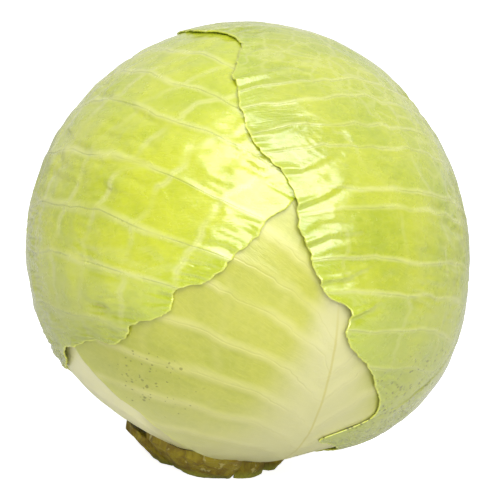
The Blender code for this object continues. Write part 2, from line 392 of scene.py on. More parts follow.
def newLeafTree(headShape, ribShape, veinPath):
    sockets = [("Guide", "Geometry")] + leafSockets
    tree, given, give = newGroup("cabbageLeaf", "GeometryNodeTree", sockets, [("Leaf", "Geometry")])
    guide = given["Guide"]
    position = put(tree, "GeometryNodeInputPosition")

    # a closed slab of square cells, its outer side at height 0 and its inner side at -1
    corners = given["Cells"] + 1.0
    gridInputs = {"Size X": 2.0, "Size Y": 2.0, "Vertices X": corners, "Vertices Y": corners}
    flat = put(tree, "GeometryNodeMeshGrid", gridInputs, "Mesh")
    inner = put(tree, "GeometryNodeTransform", {"Geometry": flat, "Translation": (0.0, 0.0, -1.0)})
    raising = {"Mesh": inner, "Offset": (0.0, 0.0, 1.0), "Individual": False}
    raised = put(tree, "GeometryNodeExtrudeMesh", raising, "Mesh")
    flipped = put(tree, "GeometryNodeFlipFaces", {"Mesh": inner})
    both = join(tree, raised, flipped)
    slab = put(tree, "GeometryNodeMergeByDistance", {"Geometry": both, "Distance": 1e-5})

    # the square is rounded to a disc and the disc is stretched to the margin
    x, y, skin = unpack(position)
    discX = x * calc("SQRT", 1.0 - y * y * 0.5)
    discY = y * calc("SQRT", 1.0 - x * x * 0.5)
    out = calc("MAXIMUM", calc("LENGTH", pack(discX, discY)), 1e-6)
    turnX, turnY = discX / out, discY / out
    steps = given["Margin Steps"]
    step = (calc("ARCTAN2", discY, discX) / (2 * math.pi) + 0.5) * steps
    whole = calc("FLOOR", step)
    reaches = []
    for ahead in (0.0, 1.0):
        index = calc("MODULO", whole + ahead, steps)
        inputs = {"Geometry": guide, "Value": calc("LENGTH", position), "Index": index}
        reaches.append(put(tree, "GeometryNodeSampleIndex", inputs))
    reach = blend(step - whole, *reaches)
    rim = pack(turnX * reach, turnY * reach, given["Seed"])
    scallop = noise(rim, given["Waves Per Metre"], 2.5, 0.6) - 0.5
    rimShare = calc("POWER", calc("MINIMUM", out, 1.0), 9.0)
    distance = out * reach + rimShare * scallop * given["Margin Wave"] * 2.0
    spot = pack(turnX * distance, turnY * distance)
    edge = (1.0 - out) * reach

    # veins on the flat map: the midrib, side veins and the cross veins between them
    fine = stack["veinPoints"]
    count = given["Vein Count"]
    orders = pointRow(tree, count, (0.0, 1.0, 0.0))
    sides = pointRow(tree, 2, (0.0, 0.0, 2.0), (0.0, 0.0, -1.0))
    oneVein = pointRow(tree, fine, (1.0 / (fine - 1), 0.0, 0.0))
    oneCross = pointRow(tree, fine * 2, pack(0.0, (count - 1.0) / (fine * 2.0 - 1.0)))
    crossOffset, crossStart = pack(given["Cross Spacing"], 0.0), pack(given["Cross First"], 0.0)
    crosses = pointRow(tree, given["Cross Count"], crossOffset, crossStart)
    networks = []
    for line, points in ((oneVein, orders), (oneCross, crosses)):
        row = put(tree, "GeometryNodeInstanceOnPoints", {"Points": points, "Instance": line})
        both = put(tree, "GeometryNodeInstanceOnPoints", {"Points": sides, "Instance": row})
        loose = put(tree, "GeometryNodeRealizeInstances", {"Geometry": both})
        veinInputs = {name: given[name] for name, _ in veinSockets}
        path = useGroup(tree, veinPath, {"Place": position, **veinInputs})
        networks.append(put(tree, "GeometryNodeSetPosition", {"Geometry": loose, "Position": path}))
    fields = []
    for network, part in zip(networks + [guide], (1, 0, 1)):
        near = put(tree, "GeometryNodeProximity", {"Geometry": network, "Sample Position": spot},
                   target_element="EDGES")
        fields.append(signedDistance(near, spot, part))
    (sideSigned, sideGap), (crossSigned, crossGap), (creaseSigned, creaseGap) = fields
    spotX, spotY, _ = unpack(spot)
    ribGap = spotX - given["Rib Offset"] * calc("COSINE", spotY / head["mapRadius"])

    marked = slab
    for name, parts in (
        ("leafSpot", (spotX, spotY, edge)), ("leafVeins", (sideSigned, sideGap, ribGap)),
        ("leafCross", (crossSigned, crossGap)), ("leafCrease", (creaseSigned, creaseGap)),
    ):
        marked = storeVector(marked, name, pack(*parts) * toMillimetres)

    # wrap the flat map round the head
    away = distance / head["mapRadius"]
    sideways = given["Across"] * turnX + given["Upward"] * turnY
    n = given["Outward"] * calc("COSINE", away) + sideways * calc("SINE", away)
    radius = useGroup(tree, headShape, {"Direction": n}) - given["Pitch"] * given["Level"]
    outside = calc("GREATER_THAN", skin, -0.5)
    for level, (_, _, _, ribAzimuth, baseAzimuth) in enumerate(leafPlaces):
        drapes = calc("GREATER_THAN", outside + (level - 0.5), given["Level"])
        inputs = {"Direction": n, "Rib Azimuth": float(ribAzimuth), "Base Azimuth": float(baseAzimuth)}
        radius = radius + useGroup(tree, ribShape, inputs) * drapes

    # relief of the blade
    seeded = pack(spotX, spotY, given["Seed"] * 0.37)
    patchy = fade(noise(seeded, blade["patchScale"], 1.0), 0.35, 0.6)
    relief = bell(sideGap, given["Vein Width"]) * given["Vein Rise"]
    relief = relief + bell(crossGap, given["Vein Width"] * 0.7) * patchy * given["Cross Rise"]
    between = 1.0 - bell(calc("MINIMUM", sideGap, crossGap * 1.5), given["Vein Width"] * 1.6)
    relief = relief + between * (noise(seeded, blade["puffScale"], 1.0) - 0.35) * given["Puff"]
    off = calc("ABSOLUTE", ribGap)
    lean = spotY - off * calc("TANGENT", given["End Angle"])
    stretched = pack(off * blade["foldsAcross"], lean * blade["foldsAlong"], given["Seed"])
    stretched = stretched + stir(seeded, 40.0) * 0.9
    folds = calc("ABSOLUTE", noise(stretched, 1.0, 2.0, 0.55) - 0.5)
    foldShare = fade(noise(seeded, blade["foldPatchScale"], 1.0), 0.42, 0.66)
    relief = relief - folds * foldShare * given["Wrinkle"] * 4.0
    ridge = bell(creaseGap, blade["ridgeWidth"])
    hollow = bell(creaseSigned + blade["hollowAside"], blade["hollowWidth"])
    hollow = hollow * bell(creaseGap, blade["hollowReach"])
    pleats = calc("EXPONENT", edge / -blade["pleatReach"]) + blade["pleatLeast"]
    relief = relief + (ridge - hollow * 0.8) * pleats * given["Crease Rise"]
    # the margin stands up where the leaf is lifted
    toward = calc("DOT_PRODUCT", n, given["Lift Direction"])
    shown = fade(toward, calc("COSINE", given["Lift Reach"]), calc("COSINE", given["Lift Reach"] * 0.8))
    flare = noise(rim, given["Waves Per Metre"] * 0.6, 1.5) * 1.6 - 0.1
    lifted = calc("EXPONENT", edge / -blade["liftReach"]) * flare * shown * given["Lift"]
    # and the leaf lies closer to those beneath where it is tucked in
    tucked = angleOf(calc("DOT_PRODUCT", n, given["Tuck Direction"]))
    radius = radius - bell(tucked, given["Tuck Reach"]) * given["Tuck Depth"]
    radius = radius + relief + lifted - (1.0 - outside) * given["Blade"]

    wrapped = n * radius + head["middle"]
    placed = put(tree, "GeometryNodeSetPosition", {"Geometry": marked, "Position": wrapped})
    smooth = put(tree, "GeometryNodeSetShadeSmooth", {"Geometry": placed, "Shade Smooth": True})
    realised = put(tree, "GeometryNodeRealizeInstances", {"Geometry": smooth})
    painted = put(tree, "GeometryNodeSetMaterial", {"Geometry": realised, "Material": given["Material"]})
    give("Leaf", painted)
    return tree


def setInputs(modifier, values):
    for item in modifier.node_group.interface.items_tree:
        if item.item_type == "SOCKET" and item.in_out == "INPUT" and item.name in values:
            modifier[item.identifier] = values[item.name]


def settle(name, made):
    # the evaluated shape of an object as a plain mesh object at the origin
    graph = bpy.context.evaluated_depsgraph_get()
    mesh = bpy.data.meshes.new_from_object(made.evaluated_get(graph))
    bpy.data.objects.remove(made)
    mesh.name = name
    piece = placeMesh(name, mesh)
    print(name, len(mesh.polygons), "faces")
    return piece


def meshFrom(name, bm):
    mesh = bpy.data.meshes.new(name)
    bm.to_mesh(mesh)
    bm.free()
    return mesh


def placeMesh(name, mesh):
    made = bpy.data.objects.new(name, mesh)
    scene.collection.objects.link(made)
    return made


def newGuide(name, place, margin, creases, frontHalfWidth):
    # the margin as loose points at even bearings, then the creases as joined points
    _, _, middle, _, baseAzimuth = place
    level = leafPlaces.index(place)
    axes = leafFrame(middle, baseAzimuth)
    below = headRadius(direction(0, midrib["start"])) - stack["pitch"] * level
    basePolar = np.degrees(np.arcsin(stack["baseRadius"] / below))
    half = stack["baseHalfWidth"]
    base = [(baseAzimuth + turn, basePolar) for turn in (-half, 0, frontHalfWidth)]
    corners = flatten(direction(*np.array(base + list(margin), float).T), axes)
    loop = smoothLoop(corners[np.argsort(np.arctan2(corners[:, 1], corners[:, 0]))])
    bearings = np.arctan2(loop[:, 1], loop[:, 0])
    order = np.argsort(bearings)
    even = (np.arange(stack["marginSteps"]) / stack["marginSteps"] - 0.5) * 2 * np.pi
    reach = np.interp(even, bearings[order], np.linalg.norm(loop, axis=1)[order], period=2 * np.pi)
    bm = bmesh.new()
    for bearing, away in zip(even, reach):
        bm.verts.new((away * math.cos(bearing), away * math.sin(bearing), 0))
    for crease in creases:
        spots = flatten(direction(*np.array(crease, float).T), axes)
        line = [bm.verts.new((x, y, 0)) for x, y in spots]
        for near, far in zip(line, line[1:]):
            bm.edges.new((near, far))
    return placeMesh(name + "Guide", meshFrom(name + "Guide", bm)), axes


# leaf skin
def tone(red, green, blue):
    # a colour from 0 to 255 a channel to the linear values that shaders use
    return tuple(((c / 255 + 0.055) / 1.055) ** 2.4 if c > 10 else c / 3294.6 for c in (red, green, blue))


# marks on a leaf's skin: widths in millimetres, and noise or cells in each millimetre
markings = {
    "meshStep": 1.4,  # how far apart the mesh points are, which a plain distance can't be finer than
    "driftScale": 0.06, "drift": 1.6, "patchScale": 0.045,
    "lineAside": 0.35,  # the fine line runs beside the middle of the pale band
    "lineWidth": 0.5, "netScale": 0.10, "netWidth": 0.13, "fineNetScale": 0.30, "fineNetWidth": 0.16,
    "edgeWidth": 1.1, "marginWidth": 17.0, "dotScale": 0.42, "grainAcross": 0.06, "grainAlong": 0.34,
}


def newLeafMarks():
    # masks and heights of what a leaf's skin shows, from the attributes its tree stores
    inputs = socketList("Vector", "Spot", "Veins", "Cross", "Crease", "Speck Middle")
    inputs += socketList("Float", "Band Width", "Cross Strength", "Net Strength", "Rib Width",
                         "Speck Reach", "Seed")
    outputs = socketList("Float", "Pale", "Line", "Rib", "Rib Line", "Edge", "Margin", "Speck",
                         "Mottle", "Height", "Shine")
    tree, given, give = newGroup("leafMarks", "ShaderNodeTree", inputs, outputs)
    spotX, spotY, edge = unpack(given["Spot"])
    sideSigned, sideGap, ribGap = unpack(given["Veins"])
    crossSigned, crossGap, _ = unpack(given["Cross"])
    _, creaseGap, _ = unpack(given["Crease"])
    ribSpan = calc("ABSOLUTE", ribGap)
    seeded = pack(spotX, spotY, given["Seed"] * 31.0)
    meshStep = markings["meshStep"]

    # pale bands along the veins and a fine net between them
    drift = (noise(seeded, markings["driftScale"], 2.0) - 0.5) * markings["drift"]
    bandGap = calc("MAXIMUM", calc("ABSOLUTE", sideSigned + drift), sideGap - meshStep)
    crossLineGap = calc("MAXIMUM", calc("ABSOLUTE", crossSigned), crossGap - meshStep)
    patchy = fade(noise(seeded, markings["patchScale"], 1.0), 0.38, 0.60)
    swell = noise(seeded, 0.035, 1.0) * 1.2 + 0.4
    strength = fade(noise(seeded, 0.05, 1.0), 0.25, 0.55) * 0.6 + 0.4
    band = (1.0 - fade(bandGap, 0.25, given["Band Width"] * swell)) * strength
    crossBand = (1.0 - fade(crossLineGap, 0.2, given["Band Width"] * 0.8)) * (patchy * 0.75 + 0.25)
    crossBand = crossBand * given["Cross Strength"]
    warp = stir(seeded, 0.09)
    warped = seeded + warp * 9.0
    net = cellGap(warped, markings["netScale"], "DISTANCE_TO_EDGE")
    netShare = fade(ribSpan, 85.0, 45.0) * given["Net Strength"]
    netBand = (1.0 - fade(net, 0.0, markings["netWidth"])) * netShare
    fineNet = cellGap(warped, markings["fineNetScale"], "DISTANCE_TO_EDGE")
    fineBand = (1.0 - fade(fineNet, 0.0, markings["fineNetWidth"])) * 0.10
    pale = calc("MAXIMUM", calc("MAXIMUM", band * 0.85, crossBand), calc("MAXIMUM", netBand, fineBand))
    give("Pale", pale)

    # fine lines along the side veins, the cross veins and the midrib
    lineGap = calc("MAXIMUM", calc("ABSOLUTE", sideSigned + markings["lineAside"]), sideGap - meshStep)
    broken = fade(noise(seeded, markings["patchScale"], 2.0), 0.30, 0.52)
    line = (1.0 - fade(lineGap, 0.10, markings["lineWidth"])) * broken
    crossLine = (1.0 - fade(crossLineGap, 0.08, markings["lineWidth"])) * patchy * 0.35
    give("Line", calc("MAXIMUM", line, crossLine))
    taper = fade(spotY, 60.0, -110.0) * given["Rib Width"] + 0.8
    give("Rib", 1.0 - fade(ribSpan, taper * 0.15, taper))
    ribLine = (1.0 - fade(calc("ABSOLUTE", ribGap + drift), 0.15, 0.8)) * fade(spotY, 20.0, -10.0)
    give("Rib Line", ribLine)
    give("Edge", 1.0 - fade(edge, 0.1, markings["edgeWidth"]))
    give("Margin", 1.0 - fade(edge, 1.0, markings["marginWidth"]))

    # specks and scars lie in one patch
    speckArea = calc("DISTANCE", pack(spotX, spotY), given["Speck Middle"])
    speckShare = 1.0 - fade(speckArea, given["Speck Reach"] * 0.25, given["Speck Reach"])
    dots = cellGap(seeded + stir(seeded, 0.9) * 1.1, markings["dotScale"])
    dotSize = noise(seeded, 0.16, 1.0) * 0.56 + speckShare * 0.16 - 0.16
    speck = fade(dotSize - dots, 0.0, 0.10) * fade(speckShare, 0.02, 0.35)
    give("Speck", speck)
    mottle = noise(seeded, 0.045, 3.0, 0.6) * 0.5 + noise(seeded, 0.018, 1.0) * 0.3
    mottle = mottle + noise(seeded, 0.4, 2.0) * 0.2
    give("Mottle", fade(mottle, 0.36, 0.64))

    # fine wrinkles run with the side veins
    slope = calc("MINIMUM", calc("MAXIMUM", spotY * 0.0035 + 0.50, 0.1), 0.9)
    grainX = (ribSpan + spotY * slope) * markings["grainAcross"]
    grainY = (spotY - ribSpan * slope) * markings["grainAlong"]
    grain = noise(pack(grainX, grainY, given["Seed"]) + warp * 0.8, 1.0, 4.0, 0.6)
    ridges = calc("ABSOLUTE", grain - 0.5)
    height = ridges * -0.8 + band * 0.30 - line * 0.30 + netBand * 0.2 + fineBand * 0.2
    height = height + noise(seeded, 1.4, 2.0) * 0.03 - speck * 0.2
    height = height + calc("EXPONENT", creaseGap * -1.4) * 0.3
    give("Height", height)
    give("Shine", noise(seeded, 0.12, 3.0, 0.6))
    return tree


def newMaterial(name):
    material = bpy.data.materials.new(name)
    material.use_nodes = True
    tree = material.node_tree
    return material, tree, tree.nodes["Principled BSDF"]


def attribute(tree, name):
    return put(tree, "ShaderNodeAttribute", output="Vector", attribute_name=name)


def bump(tree, height, strength, distance):
    return put(tree, "ShaderNodeBump", {"Height": height, "Strength": strength, "Distance": distance})


# sockets that every leaf's skin sets alike
leafShader = {
    "IOR": 1.7, "Subsurface Radius": (0.9, 1.0, 0.25), "Subsurface Scale": 0.003,
    "Coat Roughness": 0.06, "Coat IOR": 1.6,
}
skinInputs = (
    "Band Width", "Cross Strength", "Net Strength", "Rib Width", "Speck Middle", "Speck Reach", "Seed",
)


def newLeafSkin(name, marks, look):
    material, tree, shader = newMaterial(name)
    inputs = {label: attribute(tree, "leaf" + label) for label in ("Spot", "Veins", "Cross", "Crease")}
    inputs.update({label: look[label] for label in skinInputs})
    pale = useGroup(tree, marks, inputs, "Pale")
    _, height, _ = unpack(inputs["Spot"])
    colour = blend(pale.also("Mottle"), look["cell"], look["deepCell"])
    colour = blend(pale.also("Margin") * look["marginShare"], colour, look["margin"])
    colour = blend(pale * look["veinShare"], colour, look["vein"])
    # toward the stem a second tone: real whitening on the pale leaves, painted shade on the two outer ones
    paleBaseAndShadeShare = fade(height, look["paleBaseAndShadeFrom"], look["paleBaseAndShadeTo"]) * look["paleBaseAndShadeMost"]
    colour = blend(paleBaseAndShadeShare, colour, look["paleBaseAndShade"])
    for mask, share, paint in (
        ("Rib", "ribShare", "rib"), ("Rib Line", "ribLineShare", "ribLine"), ("Line", "lineShare", "line"),
        ("Edge", "edgeShare", "edge"), ("Speck", "speckShare", "speck"),
    ):
        colour = blend(pale.also(mask) * look[share], colour, look[paint])
    setSockets(shader, leafShader)
    setSockets(shader, {
        "Base Color": colour, "Roughness": pale.also("Shine") * 0.26 + look["roughness"],
        "Subsurface Weight": look["subsurface"], "Coat Weight": look["coat"],
        "Specular IOR Level": look["specular"],
        "Normal": bump(tree, pale.also("Height"), look["bump"], 0.0012),
    })
    return material


# the shares say how much of a colour its mask puts on
greenLook = {
    "cell": tone(202, 210, 48), "deepCell": tone(180, 193, 32), "vein": tone(226, 228, 146),
    "paleBaseAndShade": tone(228, 230, 166), "rib": tone(236, 236, 188), "line": tone(166, 174, 66),
    "edge": tone(220, 226, 92), "margin": tone(172, 190, 30), "ribLine": tone(196, 196, 110),
    "speck": tone(118, 118, 14), "paleBaseAndShadeFrom": -50.0, "paleBaseAndShadeTo": -120.0, "paleBaseAndShadeMost": 0.6,
    "veinShare": 0.62, "ribShare": 0.85, "lineShare": 0.62, "edgeShare": 0.7, "marginShare": 0.5,
    "speckShare": 0.65, "ribLineShare": 0.3, "roughness": 0.13, "subsurface": 0.18, "coat": 0.3,
    "specular": 0.72, "bump": 0.38,
}
paleLook = dict(greenLook, **{
    "cell": tone(187, 188, 58), "deepCell": tone(170, 175, 42), "vein": tone(217, 213, 134),
    "paleBaseAndShade": tone(226, 222, 168), "rib": tone(208, 204, 146), "line": tone(192, 186, 94),
    "edge": tone(214, 216, 112), "margin": tone(190, 198, 60), "ribLine": tone(190, 180, 84),
    "paleBaseAndShadeFrom": -20.0, "paleBaseAndShadeTo": -105.0, "paleBaseAndShadeMost": 0.75, "veinShare": 0.6, "lineShare": 0.1,
    "marginShare": 0.25, "ribLineShare": 0.6, "roughness": 0.26, "coat": 0.1, "specular": 0.6,
    "bump": 0.28,
})

# the five leaves that show: margins and creases are azimuths and polar angles
rightLeaf = {
    "margin": (
        (92, 17), (78, 25), (60, 38), (41, 46), (34, 49), (40, 53), (47, 57), (48, 61), (44, 66), (40, 71),
        (35, 76), (30, 80), (27, 84), (27, 90), (21, 93), (18, 97), (16, 101), (12, 109), (10, 117),
        (6, 122), (0, 126), (-5, 131), (-10, 138), (-14, 144), (-17, 147), (-20, 154),
        (-30, 161), (-55, 162), (-80, 158), (-108, 153), (-135, 146), (-155, 134), (-168, 118),
        (-173, 100), (-178, 84), (176, 66), (168, 50), (158, 34), (150, 22),
    ),
    "creases": (
        ((-14, 144), (-4, 148), (10, 152), (26, 150)),
        ((-3, 129), (5, 131), (13, 135)),
        ((5, 122), (12, 123), (20, 127)),
        ((11, 114), (18, 117), (25, 121)),
        ((13, 105), (20, 108), (28, 109)),
        ((18, 97), (25, 98), (31, 101)),
        ((25, 90), (28, 89), (33, 91)),
    ),
    "shape": {
        "Vein Count": 10, "First Vein": -0.075, "Vein Spacing": 0.0135, "Leave Angle": math.radians(42),
        "End Angle": math.radians(29), "End Fan": math.radians(300), "Vein Length": 0.160, "Wander": 0.010,
        "Cross Count": 6, "Cross First": 0.16, "Cross Spacing": 0.15, "Vein Rise": 0.0002,
        "Vein Width": 0.0013, "Cross Rise": 0.00016, "Puff": 0.0010, "Wrinkle": 0.0010,
        "Crease Rise": 0.0014, "Margin Wave": 0.0022, "Waves Per Metre": 130.0, "Lift": 0.0006,
        "Tuck Reach": math.radians(16), "Tuck Depth": 0.0012, "Seed": 3.0,
    },
    "liftToward": (0, 115), "liftReach": 80, "tuckToward": (42, 49),
    "skin": dict(greenLook, **{
        "Band Width": 1.9, "Cross Strength": 0.55, "Net Strength": 0.55, "Rib Width": 6.0,
        "Speck Middle": (-74.0, -57.0, 0.0), "Speck Reach": 42.0, "Seed": 3.0, "speckShare": 0.95,
        "cell": tone(186, 194, 46), "deepCell": tone(162, 176, 32), "vein": tone(216, 218, 138),
        # painted shade: this second tone darkens the leaf towards the bottom
        "paleBaseAndShade": tone(162, 168, 56), "paleBaseAndShadeFrom": 10.0, "paleBaseAndShadeTo": -60.0, "paleBaseAndShadeMost": 0.6,
    }),
}
leftLeaf = {
    "baseFrontHalfWidth": 10.0,
    "margin": (
        (-86, 20), (-87, 30), (-87, 40), (-84, 47), (-76, 52), (-68, 54), (-59, 58), (-53, 65),
        (-45, 68), (-39, 71), (-32, 72), (-28, 75), (-26, 79), (-18, 83), (-16, 87), (-16, 90),
        (-9, 93), (-6, 96), (-3, 100), (1, 105), (4, 110), (10, 115), (18, 124), (24, 138),
        (40, 154), (80, 164), (125, 160), (155, 148), (172, 132), (-178, 114), (-174, 96), (-170, 80),
        (-164, 64), (-152, 46), (-134, 30), (-116, 19),
    ),
    "creases": (
        ((-42, 125), (-30, 118), (-22, 110)),
        ((-52, 100), (-46, 96), (-42, 90)),
    ),
    "shape": dict(rightLeaf["shape"], **{
        "Vein Count": 8, "First Vein": -0.086, "Vein Spacing": 0.0205, "Leave Angle": math.radians(41),
        "End Angle": math.radians(12), "End Fan": math.radians(200), "Cross Count": 8,
        "Cross First": 0.10, "Cross Spacing": 0.118, "Vein Rise": 0.00036, "Vein Width": 0.0015,
        "Puff": 0.0016, "Crease Rise": 0.0005, "Margin Wave": 0.0026, "Waves Per Metre": 150.0,
        "Lift": 0.0007,
        "Tuck Depth": 0.0027, "Tuck Reach": math.radians(21), "Wrinkle": 0.0016, "Seed": 8.0,
    }),
    "liftToward": (-22, 86), "liftReach": 50, "tuckToward": (-97, 40),
    "skin": dict(greenLook, **{
        "Band Width": 3.0, "Cross Strength": 0.85, "Net Strength": 0.12, "Rib Width": 7.0,
        "Speck Middle": (60.0, -60.0, 0.0), "Speck Reach": 2.0, "Seed": 8.0,
        # painted shade: this second tone darkens the leaf towards the bottom
        "paleBaseAndShade": tone(160, 168, 28), "paleBaseAndShadeFrom": 0.0, "paleBaseAndShadeTo": -50.0, "paleBaseAndShadeMost": 0.7,
    }),
}
frontLeaf = {
    "margin": (
        (16, 23), (6, 24), (-4, 27), (-12, 33), (-18, 40), (-24, 46), (-30, 51), (-38, 56), (-49, 66),
        (-56, 78), (-56, 95), (-48, 112), (-32, 128), (-5, 140), (25, 144), (58, 138), (85, 124),
        (104, 104), (110, 84), (106, 64), (98, 45), (88, 28),
    ),
    "creases": (((-8, 60), (-2, 62), (4, 61)),),
    "shape": dict(rightLeaf["shape"], **{
        "Vein Count": 8, "First Vein": -0.082, "Vein Spacing": 0.0155, "Leave Angle": math.radians(58),
        "End Angle": math.radians(14), "End Fan": math.radians(380), "Vein Length": 0.115,
        "Wander": 0.006, "Cross Count": 3, "Cross First": 0.35, "Cross Spacing": 0.25,
        "Vein Rise": 0.0003, "Vein Width": 0.0024, "Cross Rise": 0.00006, "Puff": 0.0006,
        "Wrinkle": 0.0002, "Crease Rise": 0.0001, "Margin Wave": 0.0014, "Waves Per Metre": 60.0,
        "Lift": 0.0005, "Tuck Depth": 0.0, "Seed": 5.0,
    }),
    "liftToward": (-25, 50), "liftReach": 42,
    "skin": dict(paleLook, **{
        "Band Width": 4.2, "Cross Strength": 0.25, "Net Strength": 0.06, "Rib Width": 60.0,
        "Speck Middle": (-69.0, -36.0, 0.0), "Speck Reach": 26.0, "Seed": 5.0,
    }),
}
plain = {
    "halfMargin": ((34, 22), (46, 36), (56, 52), (66, 70), (72, 90), (70, 110), (58, 128), (34, 141)),
    "tip": 146,
}


def plainLeaf(azimuth, seed, skin):
    # a leaf with no folds of its own, the same on both sides of its midrib
    left = [(azimuth - away, polar) for away, polar in plain["halfMargin"]]
    right = [(azimuth + away, polar) for away, polar in plain["halfMargin"]]
    return {
        "margin": left + [(azimuth, plain["tip"])] + right,
        "creases": (((azimuth - 20, 60), (azimuth - 10, 64)),),
        "shape": dict(frontLeaf["shape"], **{"Seed": seed, "Lift": 0.0002, "Margin Wave": 0.0010}),
        "liftToward": (azimuth, 86), "liftReach": 60,
        "skin": dict(skin, **{
            "Band Width": 3.0, "Cross Strength": 0.3, "Net Strength": 0.08, "Rib Width": 14.0,
            "Speck Middle": (0.0, 0.0, 0.0), "Speck Reach": 1.0, "Seed": seed,
        }),
    }


creamLook = dict(paleLook, **{
    "cell": tone(244, 240, 172), "deepCell": tone(240, 235, 160), "vein": tone(245, 241, 184),
    "paleBaseAndShade": tone(247, 243, 190), "paleBaseAndShadeFrom": 40.0, "paleBaseAndShadeTo": -60.0, "ribLineShare": 0.0,
})
backLeaf = plainLeaf(-168, 11.0, paleLook)
lowerLeftLeaf = plainLeaf(-24, 14.0, creamLook)
lowerLeftLeaf["margin"] = (
    (-62, 20), (-92, 28), (-112, 38), (-122, 52), (-126, 70), (-124, 90), (-116, 110), (-98, 128),
    (-66, 142), (-24, 146), (10, 141), (34, 128), (46, 110), (48, 90), (42, 70), (32, 52), (22, 36),
    (10, 22),
)
leaves = (rightLeaf, leftLeaf, frontLeaf, backLeaf, lowerLeftLeaf)
marks = newLeafMarks()
leafTree = newLeafTree(newHeadShape(), newRibShape(), newVeinPath())
for level, (place, leaf) in enumerate(zip(leafPlaces, leaves)):
    name, node, middle, ribAzimuth, baseAzimuth = place
    frontHalfWidth = leaf.get("baseFrontHalfWidth", stack["baseHalfWidth"])
    guide, axes = newGuide(name, place, leaf["margin"], leaf["creases"], frontHalfWidth)
    values = dict(leaf["shape"])
    for label, axis in zip(("Across", "Upward", "Outward"), axes):
        values[label] = numbersOf(axis)
    ribTurn = math.radians(ribAzimuth - middle[0])
    values["Rib Offset"] = head["mapRadius"] * ribTurn * math.sin(math.radians(middle[1]))
    values["Lift Direction"] = numbersOf(direction(*leaf["liftToward"]))
    values["Lift Reach"] = math.radians(leaf["liftReach"])
    values["Tuck Direction"] = numbersOf(direction(*leaf.get("tuckToward", middle)))
    values["Level"] = level
    values["Material"] = newLeafSkin(name + "Skin", marks, leaf["skin"])
    for label, key in (
        ("Cells", "cells"), ("Margin Steps", "marginSteps"), ("Blade", "blade"), ("Pitch", "pitch"),
    ):
        values[label] = stack[key]
    modifier = guide.modifiers.new("Leaf", "NODES")
    modifier.node_group = leafTree
    setInputs(modifier, values)
    piece = settle(name, guide)
    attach(piece, "root")
    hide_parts(node)
    "outer_leaf" if level < 2 else "pale_leaf"


# stem and torn petioles
cutShader = {
    "Subsurface Weight": 0.12, "Subsurface Radius": (1.0, 0.9, 0.3), "Subsurface Scale": 0.003,
}


def newCutSkin(name, look):
    # rough plant tissue: fibres, scars and brown specks
    material, tree, shader = newMaterial(name)
    spot = put(tree, "ShaderNodeTexCoord", output="Object")
    millimetres = spot * toMillimetres
    fibres = noise(millimetres * (1.0, 1.0, 0.18), 0.9, 3.0, 0.6)
    blotch = noise(millimetres, 0.16, 3.0, 0.65, 0.6)
    _, _, height = unpack(millimetres)
    colour = blend(fade(blotch, 0.36, 0.62), look["base"], look["second"])
    colour = blend(fade(fibres, 0.45, 0.75) * 0.5, colour, look["fibre"])
    scar = fade(noise(millimetres, 0.30, 2.0, 0.5, 0.3), 0.62, 0.70)
    colour = blend(scar * look["scarShare"], colour, look["scar"])
    speck = fade(noise(millimetres, 0.3, 1.0) * 0.5 - 0.12 - cellGap(millimetres, 0.45), 0.0, 0.08)
    colour = blend(speck * 0.6, colour, tone(84, 72, 22))
    cut = 1.0 - fade(height, look["cutFrom"], look["cutTo"])
    colour = blend(cut * look["cutShare"], colour, look["cut"])
    setSockets(shader, cutShader)
    setSockets(shader, {
        "Base Color": colour, "Roughness": fibres * 0.25 + look["roughness"],
        "Normal": bump(tree, fibres + scar * 0.6 - speck * 0.4, 0.6, 0.0012),
    })
    return material


stemLook = {
    "base": tone(196, 196, 112), "second": tone(176, 172, 84), "fibre": tone(214, 210, 150),
    "scar": tone(206, 196, 130), "scarShare": 0.5, "cutFrom": 0.1, "cutTo": 0.8, "cutShare": 0.7,
    "cut": tone(224, 216, 168), "roughness": 0.5,
}
stubLook = {
    "base": tone(164, 146, 16), "second": tone(130, 106, 8), "fibre": tone(176, 160, 40),
    "scar": tone(216, 204, 130), "scarShare": 0.7, "cutFrom": 0.6, "cutTo": 4.0, "cutShare": 0.65,
    "cut": tone(176, 184, 70), "roughness": 0.45,
}
stem = {
    # radius and height
    "profile": (
        (0.0, 0.0640), (0.0035, 0.0630), (0.0070, 0.0590), (0.0100, 0.0520), (0.0130, 0.0400),
        (0.0155, 0.0280), (0.0178, 0.0170), (0.0182, 0.0120), (0.0175, 0.0080), (0.0165, 0.0040),
        (0.0155, 0.0010), (0.0145, 0.0), (0.0, 0.0),
    ),
    "sides": 96,
    "rings": 6,  # between one profile point and the next
    "ridgeShare": 0.02,
    "cutRidgeShare": 0.012,
    "twist": 40.0,
}


